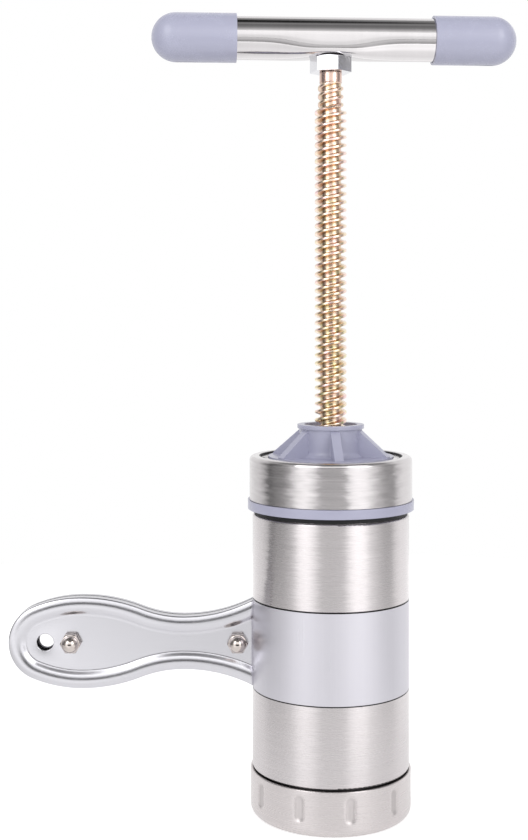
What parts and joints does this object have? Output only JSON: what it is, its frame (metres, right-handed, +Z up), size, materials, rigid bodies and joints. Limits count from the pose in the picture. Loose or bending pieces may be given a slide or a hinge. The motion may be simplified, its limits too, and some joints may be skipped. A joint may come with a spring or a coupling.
{
  "type": "pasta extruder with crank",
  "caption": "Hand cranked screw press for dough: a crossbar turns a threaded spindle that drives a piston down a steel barrel with a side handle and a die ring.",
  "frame": {"origin": "centre of the retaining ring's underside, on the spindle's axis", "axes": "+Z up along the spindle, the side handle points to -X, the handle's cap nuts face -Y"},
  "size_m": [0.1954, 0.0636, 0.3055],
  "materials": {
    "barrel_steel": "brushed round the barrel",
    "handle_steel": "satin",
    "fastener_steel": "bright zinc",
    "spacer": "plain",
    "ring_steel": "satin",
    "die_bronze": "turned",
    "seal_rubber": "matte",
    "lid_plastic": "moulded, fine grain",
    "lid_steel": "polished",
    "nut_steel": "plain",
    "piston_steel": "satin",
    "spindle_zinc": "yellow zinc",
    "crossbar_steel": "polished",
    "grip_plastic": "moulded, satin"
  },
  "bodies": {
    "barrel": {"barrel": "barrel_steel", "handle_band": "handle_steel", "handle_shell_front": "handle_steel", "handle_shell_back": "handle_steel", "handle_bolt_outer": "fastener_steel", "handle_bolt_inner": "fastener_steel", "cap_nut_outer": "fastener_steel", "cap_nut_inner": "fastener_steel", "handle_spacer_outer": "spacer", "handle_spacer_inner": "spacer"},
    "die": {"die_plate": "die_bronze"},
    "ring": {"retaining_ring": "ring_steel"},
    "seal": {"neck_seal": "seal_rubber"},
    "lid": {"lid_core": "lid_plastic", "lid_cover": "lid_steel", "lid_gasket": "seal_rubber", "spindle_nut": "nut_steel"},
    "piston": {"piston_plate": "piston_steel", "piston_seal": "seal_rubber"},
    "screw": {"spindle": "spindle_zinc", "lock_nut": "fastener_steel", "crossbar_tube": "crossbar_steel", "grip_left": "grip_plastic", "grip_right": "grip_plastic", "piston_washer": "fastener_steel", "piston_screw": "fastener_steel"}
  },
  "joints": [
    {"name": "die_drop", "type": "slide", "parent": "barrel", "child": "die", "axis": [0, 0, 1], "range_m": [-0.025, 0]},
    {"name": "ring_turn", "type": "hinge", "parent": "die", "child": "ring", "pos_m": [0, 0, 0.0087], "axis": [0, 0, 1], "range_deg": [-720, 0]},
    {"name": "lid_lift", "type": "slide", "parent": "barrel", "child": "seal", "axis": [0, 0, 1], "range_m": [0, 0.04]},
    {"name": "lid_turn", "type": "hinge", "parent": "seal", "child": "lid", "pos_m": [0, 0, 0.125], "axis": [0, 0, 1], "range_deg": [0, 720]},
    {"name": "piston_travel", "type": "slide", "parent": "lid", "child": "piston", "axis": [0, 0, 1], "range_m": [-0.106, 0]},
    {"name": "crank_turn", "type": "hinge", "parent": "piston", "child": "screw", "pos_m": [0, 0, 0.2], "axis": [0, 0, 1], "range_deg": [-6130, 0]}
  ],
  "couplings": [
    {"joint": "piston_travel", "follows": "crank_turn", "m_per_rad": 0.00098994}
  ]
}
